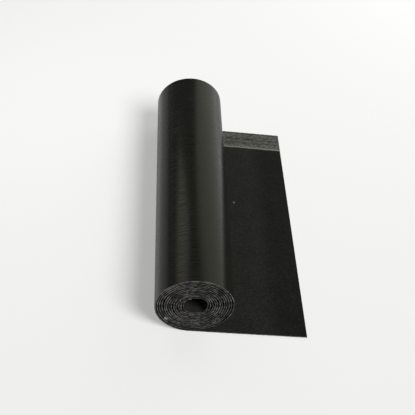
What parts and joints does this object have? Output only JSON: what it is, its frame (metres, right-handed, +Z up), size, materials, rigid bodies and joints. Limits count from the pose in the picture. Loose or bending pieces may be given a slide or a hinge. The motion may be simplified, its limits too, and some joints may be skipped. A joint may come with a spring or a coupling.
{
  "type": "roll of valley underlay",
  "caption": "Loose coreless roll of thick black roofing valley underlay, lying on its side with the outer end rolled out flat and a lighter lap strip along one edge.",
  "frame": {"origin": "on the floor, at the centre of the outline's bottom", "axes": "+Z up, +Y along the roll and its bore towards the edge with the lap strip, +X from the roll towards the cut end of the flat tail"},
  "size_m": [0.5041, 1, 0.2486],
  "materials": {
    "underlay_sheet": "satin black polymer-bitumen sheet with fine ribs round the roll",
    "lap_strip": "grey striped non-woven"
  },
  "bodies": {
    "root": {"underlay_roll": "underlay_sheet", "lap_strip": "lap_strip"}
  },
  "joints": []
}
